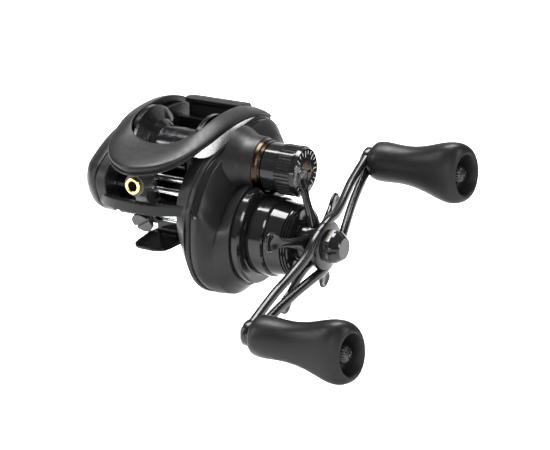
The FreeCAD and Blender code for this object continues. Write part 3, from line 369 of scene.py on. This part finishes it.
# The nodes whose finish differs from the rest of their slot.
SPECIAL_FINISH = {"handle_nut": DARK_STEEL, "cast_control_ring": DARK_BRONZE,
                  "cast_control_knob": KNURLED, "bearing_collar": KNURLED}

dress_cad_nodes()
for node_name, finish in SPECIAL_FINISH.items():
    frame["nodes"][node_name].data.materials[0] = finish


# --- Hood --------------------------------------------------------------------------------------

# From the right rear corner round to the middle of the nose: inner edge (x, y), outer edge (x, y),
# the heights of the two edges and how deep the outer lip hangs.
HOOD_STATIONS = [
    (14.0, 27.2, 19.6, 26.6, 10.6, 9.6, 2.0), (14.0, 22.0, 19.8, 22.0, 13.0, 11.8, 2.0),
    (14.1, 15.0, 19.9, 15.0, 14.8, 13.2, 1.9), (14.1, 8.0, 19.9, 8.0, 15.2, 13.4, 1.9),
    (14.1, 0.0, 19.8, 0.0, 14.6, 12.6, 1.9), (14.0, -6.0, 19.4, -7.0, 13.4, 11.0, 1.9),
    (13.2, -10.5, 18.2, -14.0, 11.8, 8.7, 2.1), (11.2, -13.8, 16.0, -20.5, 10.2, 6.7, 2.7),
    (8.2, -16.0, 12.6, -26.0, 8.8, 4.9, 3.3), (4.4, -17.3, 7.6, -30.4, 7.9, 3.6, 3.6),
    (0.0, -17.8, 0.0, -32.8, 7.6, 2.9, 3.8),
]
# The hood's section: how far across it from the inner edge, how far the height leans from the
# inner edge's to the outer's, the rise above that, and the share of the lip's depth below it.
HOOD_SECTION = [
    (0, 0, -2.6, 0), (0, 0, -0.45, 0), (0.015, 0.015, -0.1, 0), (0.07, 0.07, 0.1, 0),
    (0.35, 0.35, 0.3, 0), (0.65, 0.65, 0.3, 0), (0.9, 0.92, 0.12, 0), (0.97, 0.99, -0.1, 0),
    (0.995, 1, 0, 0.12), (1, 1, 0, 0.25), (0.99, 1, 0, 0.47),
    (0.93, 1, 0, 0.54), (0.93, 1, 0, 0.64), (0.975, 1, 0, 0.7), (0.98, 1, 0, 0.9),
    (0.92, 1, 0, 1), (0.5, 0.6, -3.0, 0), (0.08, 0, -3.0, 0),
]


def hood():
    mirrored = [(-a, b, -c, d, e, f, g) for a, b, c, d, e, f, g in reversed(HOOD_STATIONS[:-1])]
    loops = []
    for xi, yi, xo, yo, zi, zo, lip in spline(HOOD_STATIONS + mirrored, 121):
        loops.append([(xi + (xo - xi) * u, yi + (yo - yi) * u, zi + (zo - zi) * lean + rise - lip * drop)
                      for u, lean, rise, drop in HOOD_SECTION])
    piece = new_piece("hood_shell", tube_mesh("hood_shell", loops), "reel_body", "frame_paint",
                      SATIN, "front_hood")
    subdivide(piece, 1)
    return piece


# The side trims, from their front tip: x of the outer face, y, upper z and lower z.
TRIM_STATIONS = [(17.0, -18.2, 5.3, 5.0), (18.0, -15.5, 6.6, 4.0), (18.9, -12.0, 7.8, 3.9),
                 (19.3, -7.0, 9.3, 4.8), (19.45, -2.0, 10.5, 6.0), (19.5, 2.5, 11.1, 7.9),
                 (19.5, 6.5, 11.5, 9.5), (19.5, 12.0, 11.6, 10.6), (19.5, 17.5, 11.2, 10.7)]
TRIM_THICKNESS = 2.2


def side_trim(side, node_name):
    loops = []
    for x, y, top, low in spline(TRIM_STATIONS, 60):
        middle = (top + low) / 2
        shape = [(x - TRIM_THICKNESS, low), (x - 0.5, low), (x - 0.12, low + 0.12), (x, middle),
                 (x - 0.1, top), (x - TRIM_THICKNESS, top)]
        loops.append([(side * a, y, z) for a, z in shape])
    piece = new_piece(node_name + "_strip", tube_mesh(node_name, loops), "reel_body",
                      "polished_trim", TRIM, node_name)
    smooth_by_angle(piece, 50)
    return piece


# --- Gear side cover ---------------------------------------------------------------------------

GEAR_SIDE_TOP = [(-27, -13.5), (-24.8, -8.5), (-21.9, -3.5), (-15, 2.4), (-4, 5.8), (8, 10),
                 (17, 11.2), (23.6, 8.6), (26.8, 2), (25.5, -8), (20.5, -16)]
EDGE_TOP = [(-22.5, -19), (-19.5, -16), (-15.7, -12.4), (-9.4, -7.1), (-1.1, -1.6), (6.7, 2.8),
            (16, 6), (20.5, 4.5), (23, 0), (22.5, -8), (18, -16.5)]
HOUSING_TURNS = [-15, -45, -75, -105, -135, -165]
EDGE_SHARE = [0.93, 0.96, 0.98, 0.98, 0.95, 0.86]
HOUSING_RADIUS = 22.5
PLINTH_RADIUS = 17.9
OUTLINE_POINTS = 136
# The cover starts just clear of the frame's seam. Its wall is COVER_WALL thick, and thinner there.
COVER_START = 18.52
COVER_WALL = 1.5
SEAM_WALL = 1.35
DRUM_HOLE_RADIUS = 12.5


def about_main(radius, degrees):
    a = math.radians(degrees)
    return MAIN[0] + radius * math.cos(a), MAIN[1] + radius * math.sin(a)


def cover_rows():
    """Three matching outlines of the gear cover: at the seam, at its edge and round the plinth."""
    seam = GEAR_SIDE_TOP + [about_main(HOUSING_RADIUS, a) for a in HOUSING_TURNS]
    edge = EDGE_TOP + [about_main(HOUSING_RADIUS * share, a)
                       for a, share in zip(HOUSING_TURNS, EDGE_SHARE)]
    seam, edge = (spline(points, OUTLINE_POINTS, closed=True) for points in (seam, edge))
    middle = Vector(MAIN)
    plinth = [middle + (p - middle).normalized() * PLINTH_RADIUS for p in edge]
    return seam, edge, plinth


def mixed(first, second, share):
    return [a.lerp(b, share) for a, b in zip(first, second)]


def inset(points, distance):
    """The outline moved inwards along its own normals; the outline runs clockwise."""
    moved = []
    for i, p in enumerate(points):
        along = (points[(i + 1) % len(points)] - points[i - 1]).normalized()
        moved.append(p + Vector((along.y, -along.x)) * distance)
    return moved


def loop_at(x, points):
    return [(x, p[0], p[1]) for p in points]


def gear_cover():
    seam, edge, plinth = cover_rows()
    skin = [(COVER_START, seam, 0.3), (18.62, seam, 0.05), (18.9, seam, 0.0), (20.0, seam, 0.0),
            (20.15, seam, 0.1), (20.25, seam, 0.55), (20.4, seam, 0.7)]
    stages = [(22.3, 0.1, 0.7), (22.45, 0.1, 0.55), (22.55, 0.11, 0.1), (22.75, 0.12, 0.0),
              (23.4, 0.2, 0.0), (24.5, 0.42, 0.0), (25.6, 0.68, 0.0), (26.5, 0.9, 0.0),
              (26.85, 0.98, 0.0), (27.05, 1.02, 0.0), (27.3, 1.05, 0.02)]
    skin += [(x, mixed(seam, edge, share), inward) for x, share, inward in stages]
    flank = [(27.7, 0.1), (29.0, 0.38), (30.2, 0.6), (31.4, 0.82), (32.3, 0.95), (32.8, 1.0)]
    skin += [(x, mixed(edge, plinth, share), 0.0) for x, share in flank]
    loops = [loop_at(x, inset(points, inward)) for x, points, inward in skin]
    bore = [Vector(MAIN) + (p - Vector(MAIN)).normalized() * DRUM_HOLE_RADIUS for p in plinth]
    loops += [loop_at(32.7, bore), loop_at(31.3, bore), loop_at(30.5, inset(plinth, 1.6)),
              loop_at(26.4, inset(mixed(seam, edge, 0.9), COVER_WALL)),
              loop_at(22.2, inset(mixed(seam, edge, 0.12), COVER_WALL)),
              loop_at(21.0, inset(seam, SEAM_WALL)), loop_at(COVER_START, inset(seam, SEAM_WALL))]
    piece = new_piece("gear_cover_shell", tube_mesh("gear_cover_shell", loops, closed=True),
                      "reel_body", "frame_paint", SATIN, "gear_side_cover")
    smooth_by_angle(piece, 28)
    return piece


def cover_band():
    """The dark glossy band let into the gear cover behind its edge."""
    seam, edge, _ = cover_rows()
    low = mixed(seam, edge, 0.1)
    rows = [(20.45, seam, 0.9), (20.45, seam, 0.55), (20.7, seam, 0.42), (22.1, low, 0.42),
            (22.3, low, 0.55), (22.3, low, 0.9)]
    loops = [loop_at(x, inset(points, inward)) for x, points, inward in rows]
    piece = new_piece("gear_cover_band", tube_mesh("gear_cover_band", loops, closed=True),
                      "reel_body", "gloss_black", GLOSS)
    smooth_by_angle(piece, 50)
    return piece


def cover_boss():
    """The round boss behind the cast control knob, flaring into the cover, and its neck."""
    profile = [(23.5, 8.0), (23.5, 12.2), (25.5, 11.2), (27.3, 10.2), (29.0, 9.75), (32.3, 9.6),
               (32.8, 9.35), (33.0, 8.9), (33.0, 7.2), (40.0, 7.2), (40.0, 6.4), (33.0, 6.4),
               (30.0, 6.4)]
    piece = new_piece("cover_boss", turned_mesh("cover_boss", profile), "reel_body", "frame_paint",
                      SATIN)
    smooth_by_angle(piece, 30)
    return piece


# --- Palm side plate ---------------------------------------------------------------------------

PALM_SIDE = [(-28, -9), (-27.6, -3), (-24, 0.6), (-16, 5.2), (-8, 8.4), (4, 11.2), (14, 11.6),
             (22, 10.4), (27, 4), (27.3, -5), (23, -14), (12, -19.3), (-2, -20.4), (-15, -19.6),
             (-24, -16)]
DIAL_CENTRE = (0, -4)
DIAL_POCKET = 8.3
PALM_START = -16.52


def palm_plate():
    """The domed palm cover with a round pocket for the brake dial."""
    side = spline(PALM_SIDE, OUTLINE_POINTS, closed=True)
    middle = Vector(DIAL_CENTRE)
    ring = [(p - middle).normalized() for p in side]
    skin = [(PALM_START, 0.02), (-16.7, 0.004), (-17.0, 0.0), (-18.2, 0.006), (-19.6, 0.025),
            (-21.0, 0.06), (-22.3, 0.105), (-23.4, 0.165), (-24.3, 0.245), (-24.9, 0.32),
            (-25.25, 0.38), (-25.45, 0.43)]
    loops = [loop_at(x, mixed(side, [middle] * len(side), share)) for x, share in skin]
    for x, radius in ((-25.48, 9.1), (-25.4, 8.45), (-25.1, DIAL_POCKET), (-23.5, DIAL_POCKET),
                      (-23.5, 3.0)):
        loops.append(loop_at(x, [middle + r * radius for r in ring]))
    for x, share in ((-22.6, 0.75), (-20.2, 0.12), (PALM_START, 0.08)):
        loops.append(loop_at(x, mixed(side, [middle] * len(side), share)))
    piece = new_piece("palm_plate_shell", tube_mesh("palm_plate_shell", loops, closed=True),
                      "reel_body", "frame_paint", SATIN, "palm_side_plate")
    smooth_by_angle(piece, 34)
    return piece


# --- Handle paddles ----------------------------------------------------------------------------

HANDLE_END_FACE = 55.9
POST_SPACING = 87
HANDLE_TURN = 26
PADDLE_START = HANDLE_END_FACE + 0.3
# Along a paddle from its inner end: half height, half depth and squareness of its section.
PADDLE_SKIN = [
    (0.0, 4.6, 4.6, 2.0), (0.15, 5.5, 5.5, 2.0), (0.7, 6.3, 6.3, 2.0), (2.0, 6.9, 6.85, 2.0),
    (5.0, 7.05, 6.8, 2.0), (9.0, 6.75, 6.2, 2.0), (13.0, 6.7, 5.7, 2.05), (17.0, 7.2, 5.5, 2.1),
    (21.0, 8.3, 5.5, 2.2), (25.0, 9.6, 5.7, 2.3), (29.0, 10.5, 5.85, 2.4), (32.5, 10.75, 5.8, 2.4),
    (35.3, 10.4, 5.5, 2.4), (37.2, 9.5, 5.0, 2.3), (38.2, 8.5, 4.5, 2.2), (38.45, 7.7, 4.15, 2.1),
    (38.2, 7.2, 3.95, 2.0), (37.0, 6.8, 3.8, 2.0), (34.0, 6.2, 3.7, 2.0), (30.5, 5.6, 3.7, 2.0),
]


def superellipse(half_z, half_y, squareness, count=48):
    points = []
    for i in range(count):
        a = 2 * math.pi * i / count
        c, s = math.cos(a), math.sin(a)
        points.append((half_y * math.copysign(abs(c) ** (2 / squareness), c),
                       half_z * math.copysign(abs(s) ** (2 / squareness), s)))
    return points


def post_at(side):
    reach = side * POST_SPACING / 2
    return about_main(reach, HANDLE_TURN)


# The paddle's end is cut at a slant, so the front side is the shorter. The slant starts SLANT_START
# along the paddle and turns about a line SLANT_PIVOT behind its middle.
PADDLE_LENGTH = 38.5
SLANT_START, SLANT = 22, 0.55
SLANT_PIVOT = 6


def paddle(name, side):
    y, z = post_at(side)
    loops = []
    for along, high, deep, square in PADDLE_SKIN:
        lean = SLANT * min(1, max(0, (along - SLANT_START) / (PADDLE_LENGTH - SLANT_START))) ** 1.5
        loops.append([(PADDLE_START + along + lean * (a - SLANT_PIVOT), y + a, z + b)
                      for a, b in superellipse(high, deep, square)])
    piece = new_piece("paddle_" + name, tube_mesh("paddle_" + name, loops),
                      name + "_knob", "soft_rubber", RUBBER, "paddle_knob_" + name)
    subdivide(piece, 1)
    return piece


CAP_RIBS = 18
POINTS_PER_RIB = 8
CAP_GROOVE = 0.09
CAP_PIP_RADIUS = 1.3


def knob_cap(name, side):
    """The ribbed domed cap in the paddle's end, with a small centre pip."""
    y, z = post_at(side)
    count = CAP_RIBS * POINTS_PER_RIB
    profile = [(29.0, 0.01), (29.0, 3.55), (31.6, 3.5), (33.0, 3.1), (34.0, 2.1), (34.3, 1.25),
               (34.15, 1.1), (34.15, 0.8), (34.5, 0.6), (34.55, 0.01)]
    loops = []
    for x, radius in profile:
        groove = CAP_GROOVE if CAP_PIP_RADIUS < radius else 0.0
        row = []
        for i in range(count):
            a = 2 * math.pi * i / count
            r = radius * (1 - groove * (0.5 + 0.5 * math.cos(CAP_RIBS * a)) ** 3)
            row.append((PADDLE_START + x, y + r * math.cos(a), z + r * math.sin(a)))
        loops.append(row)
    piece = new_piece("knob_dome_" + name, tube_mesh("knob_dome_" + name, loops), name + "_knob",
                      "knob_cap_black", GLOSS, "knob_cap_" + name)
    smooth_by_angle(piece, 50)
    return piece


# --- Cast and forged pieces --------------------------------------------------------------------

# How finely each of these is re-skinned, in millimetres, and how often it is then smoothed.
CAST_NODES = {"reel_foot": (0.3, 5), "line_guide": (0.16, 3), "frame": (0.28, 2),
              "thumb_bar": (0.15, 1)}


def soften_castings():
    """Rounds the edges of cast and forged pieces the way tumbling does."""
    for name, (voxel, rounds) in CAST_NODES.items():
        piece = frame["nodes"][name]
        skin = piece.modifiers.new("skin", "REMESH")
        skin.mode = "VOXEL"
        skin.voxel_size = voxel * MM
        skin.use_smooth_shade = True
        smooth = piece.modifiers.new("tumbled", "SMOOTH")
        smooth.factor = 0.5
        smooth.iterations = rounds


# --- Handle ------------------------------------------------------------------------------------

# Along one rail of the handle: radius from the main shaft, distance from the arm's middle, x of its
# middle, half width and half thickness.
RAIL = [(2.0, 6.9, 59.5, 1.5, 1.45), (6.0, 6.4, 59.5, 1.5, 1.45), (10.0, 5.2, 59.35, 1.5, 1.45),
        (15.0, 4.3, 58.5, 1.45, 1.45), (21.0, 3.7, 57.2, 1.4, 1.45), (27.0, 3.3, 56.0, 1.4, 1.45),
        (33.0, 2.8, 55.2, 1.4, 1.4), (38.0, 2.3, 54.7, 1.5, 1.4), (42.0, 1.9, 54.45, 1.8, 1.45)]
HANDLE_HUB = [(57.9, 3.1), (57.9, 7.6), (58.3, 8.2), (58.9, 8.5), (60.1, 8.5), (60.7, 8.2),
              (61.0, 7.6), (61.0, 3.1)]
HANDLE_END = [(52.9, 2.3), (52.9, 3.8), (53.3, 4.2), (53.9, 4.3), (55.0, 4.3), (55.6, 4.15),
              (55.9, 3.8), (55.9, 2.3)]


def rail_mesh(name, end_side, rail_side):
    """One curved rail with a rounded section, from beside the hub to the knob post."""
    turn = math.radians(HANDLE_TURN)
    loops = []
    for r, across, x, wide, thick in spline(RAIL, 48):
        row = []
        for a, b in superellipse(thick, wide, 3.0, 20):
            along, beside = end_side * r, rail_side * across + a
            row.append((x + b, MAIN[0] + along * math.cos(turn) - beside * math.sin(turn),
                        MAIN[1] + along * math.sin(turn) + beside * math.cos(turn)))
        loops.append(row)
    return tube_mesh(name, loops)


def handle():
    hub = new_piece("handle_hub", turned_mesh("handle_hub", HANDLE_HUB, MAIN), "handle",
                    "gloss_black", ARM_BLACK, "handle_arm")
    smooth_by_angle(hub, 50)
    for end, end_side in (("upper", 1), ("lower", -1)):
        name = "handle_end_" + end
        eye = new_piece(name, turned_mesh(name, HANDLE_END, post_at(end_side)), "handle",
                        "gloss_black", ARM_BLACK)
        smooth_by_angle(eye, 50)
        for rail, rail_side in (("a", 1), ("b", -1)):
            name = "handle_rail_%s_%s" % (end, rail)
            piece = new_piece(name, rail_mesh(name, end_side, rail_side), "handle",
                              "gloss_black", ARM_BLACK)
            smooth_by_angle(piece, 50)


# --- Cast control knob's dial --------------------------------------------------------------------

KNOB_FACE = 48.6
TICKS = 24
TICK_OUTER, TICK_LONG, TICK_SHORT = 7.3, 5.1, 6.1
TICK_HALF_WIDTH = 0.14
# How deep the marks are let into the face, and how far they stand proud of it.
TICK_SUNK, TICK_PROUD = 0.3, 0.06


def knob_ticks():
    """Pale tick marks round the cast control knob's face, every third one longer."""
    made = bmesh.new()
    for i in range(TICKS):
        a = 2 * math.pi * i / TICKS
        inner = TICK_LONG if i % 3 == 0 else TICK_SHORT
        half = TICK_HALF_WIDTH
        corners = []
        for x in (KNOB_FACE - TICK_SUNK, KNOB_FACE + TICK_PROUD):
            for r, across in ((inner, -half), (TICK_OUTER, -half), (TICK_OUTER, half), (inner, half)):
                y = r * math.cos(a) - across * math.sin(a)
                z = r * math.sin(a) + across * math.cos(a)
                corners.append(made.verts.new(place(x, y, z)))
        low, high = corners[:4], corners[4:]
        made.faces.new(high)
        for j in range(4):
            made.faces.new((low[j], low[(j + 1) % 4], high[(j + 1) % 4], high[j]))
    bmesh.ops.recalc_face_normals(made, faces=made.faces)
    mesh = bpy.data.meshes.new("knob_ticks")
    made.to_mesh(mesh)
    made.free()
    return new_piece("knob_ticks", mesh, "cast_control", "gloss_black", PALE_PAINT)


# --- Star drag ---------------------------------------------------------------------------------

# Along an arm of the star: radius, x of its middle, half width, half thickness and hollow of the
# outer face. The arm narrows, bends and ends in a hollowed finger pad.
STAR_ARM = [(4.0, 55.3, 3.4, 1.9, 0.0), (7.0, 55.0, 2.9, 1.6, 0.0), (10.0, 53.9, 1.9, 1.35, 0.0),
            (14.0, 52.7, 1.5, 1.2, 0.0), (17.5, 51.9, 1.7, 1.1, 0.1), (19.5, 51.5, 2.5, 1.05, 0.4),
            (21.5, 51.2, 3.2, 1.0, 0.6), (23.3, 51.1, 3.2, 0.95, 0.55), (24.6, 51.1, 2.3, 0.8, 0.2),
            (25.2, 51.1, 1.0, 0.4, 0.0)]
STAR_ARMS = 5
STAR_TURN = 21
STAR_HUB = [(51.5, 3.2), (51.5, 6.6), (52.0, 7.0), (55.6, 7.0), (56.9, 6.3), (57.55, 5.2),
            (57.55, 3.2)]


def star_section(half_width, half_depth, hollow):
    """Points (across, x) round an arm, the side away from the reel hollowed in its middle."""
    points = []
    for i in range(20):
        a = 2 * math.pi * i / 20
        across = math.cos(a)
        outward = math.sin(a)
        dish = hollow * max(0.0, 1 - (across * 1.25) ** 2) * 1.6 if outward > 0 else 0.0
        points.append((half_width * across,
                       half_depth * math.copysign(abs(outward) ** 0.7, outward) - dish))
    return points


def star():
    for i in range(STAR_ARMS):
        turn = math.radians(STAR_TURN + 360 / STAR_ARMS * i)
        loops = []
        for r, x, wide, deep, hollow in spline(STAR_ARM, 40):
            row = []
            for across, out in star_section(wide, deep, hollow):
                y = MAIN[0] + r * math.cos(turn) - across * math.sin(turn)
                z = MAIN[1] + r * math.sin(turn) + across * math.cos(turn)
                row.append((x + out, y, z))
            loops.append(row)
        name = "star_arm_%d" % (i + 1)
        arm = new_piece(name, tube_mesh(name, loops), "star", "gloss_black", GLOSS)
        smooth_by_angle(arm, 50)
    hub = new_piece("star_hub", turned_mesh("star_hub", STAR_HUB, MAIN), "star", "gloss_black",
                    GLOSS, "star_drag")
    smooth_by_angle(hub, 30)


handle()
knob_ticks()
star()
hood()
side_trim(-1, "left_side_trim")
side_trim(1, "right_side_trim")
gear_cover()
cover_band()
cover_boss()
palm_plate()
for name, side in (("upper", 1), ("lower", -1)):
    paddle(name, side)
    knob_cap(name, side)
soften_castings()


# --- Stage -----------------------------------------------------------------------------------

def studio():
    """A pale floor that curves up into a backdrop."""
    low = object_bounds()[0][2] - 0.006
    mesh = bpy.data.meshes.new("floor")
    made = bmesh.new()
    across, front, back, rise = 4.0, -2.5, 2.5, 2.0
    profile = [(front, low), (back - 0.8, low), (back - 0.25, low + 0.2), (back, low + 0.8),
               (back, low + rise)]
    rows = [[made.verts.new((x, y, z)) for y, z in profile] for x in (-across, across)]
    for i in range(len(profile) - 1):
        made.faces.new((rows[0][i], rows[1][i], rows[1][i + 1], rows[0][i + 1]))
    made.to_mesh(mesh)
    made.free()
    floor = bpy.data.objects.new("floor", mesh)
    bpy.context.scene.collection.objects.link(floor)
    material, shader = new_material("floor_white", (0.9, 0.9, 0.9), 0, 0.9)
    socket(shader, "Emission Color", (1, 1, 1, 1))
    socket(shader, "Emission Strength", 0.6)
    floor.data.materials.append(material)
    floor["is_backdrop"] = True


def soft_light(name, where, size, power, target=(0.02, 0, 0.02)):
    data = bpy.data.lights.new(name, "AREA")
    data.shape = "RECTANGLE"
    data.size, data.size_y = size
    data.energy = power
    light = bpy.data.objects.new(name, data)
    bpy.context.scene.collection.objects.link(light)
    light.location = where
    aim = Vector(target) - Vector(where)
    light.rotation_euler = aim.to_track_quat("-Z", "Y").to_euler()
    return light


def lights():
    world = bpy.data.worlds.new("studio")
    bpy.context.scene.world = world
    world.use_nodes = True
    world.node_tree.nodes["Background"].inputs["Color"].default_value = (1, 1, 1, 1)
    world.node_tree.nodes["Background"].inputs["Strength"].default_value = 0.3
    soft_light("key_above", (-0.12, 0.1, 0.75), (0.5, 0.35), 18)
    soft_light("left_front", (-0.55, -0.55, 0.3), (0.12, 0.6), 5)
    soft_light("right_side", (0.75, -0.25, 0.35), (0.12, 0.6), 5)
    soft_light("front_low", (0.15, -0.8, 0.05), (0.5, 0.08), 1.5)


# The camera stands where the reel is seen from 31 degrees to its right and 18 degrees above.
CAMERA_AZIMUTH, CAMERA_ELEVATION = math.radians(31), math.radians(18)
CAMERA_DISTANCE = 0.7
LENS = 133.8
AIM_RIGHT, AIM_UP = 0.0316, -0.0252


def camera():
    a, e = CAMERA_AZIMUTH, CAMERA_ELEVATION
    right = Vector((math.cos(a), math.sin(a), 0))
    back = Vector((math.sin(a) * math.cos(e), -math.cos(a) * math.cos(e), math.sin(e)))
    up = back.cross(right)
    data = bpy.data.cameras.new("camera")
    data.lens = LENS
    data.sensor_width = 36
    eye = bpy.data.objects.new("camera", data)
    bpy.context.scene.collection.objects.link(eye)
    turn = Matrix((right, up, back)).transposed().to_4x4()
    spot = SPOOL_CENTRE + right * AIM_RIGHT + up * AIM_UP + back * CAMERA_DISTANCE
    eye.matrix_world = Matrix.Translation(spot) @ turn
    bpy.context.scene.camera = eye


studio()
lights()
camera()

bpy.context.scene.view_settings.view_transform = "Standard"
